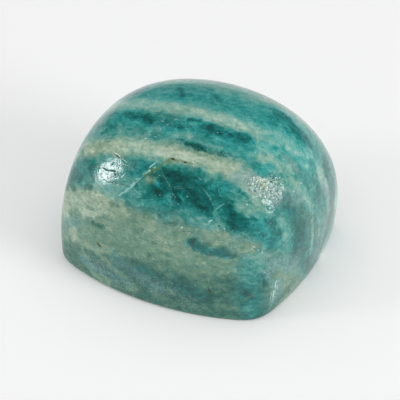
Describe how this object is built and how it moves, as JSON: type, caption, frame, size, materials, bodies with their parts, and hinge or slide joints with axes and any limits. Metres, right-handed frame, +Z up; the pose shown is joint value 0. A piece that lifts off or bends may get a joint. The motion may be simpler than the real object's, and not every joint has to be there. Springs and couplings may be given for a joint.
{
  "type": "polished amazonite stone",
  "caption": "Polished banded amazonite, a soft cushion-shaped block of blue-green and cream stone that stands on a broad flat foot.",
  "frame": {"origin": "middle of the flat foot, under the centre of the stone's outline", "axes": "+Z up from the foot to the crown; +X along the stone's longest side; -Y towards the front face"},
  "size_m": [0.0354, 0.0308, 0.0263],
  "materials": {
    "amazonite": "tumble-polished blue-green feldspar with cream bands, a waxy gloss, fine pits and healed cracks"
  },
  "bodies": {
    "root": {"amazonite_stone": "amazonite"}
  },
  "joints": []
}
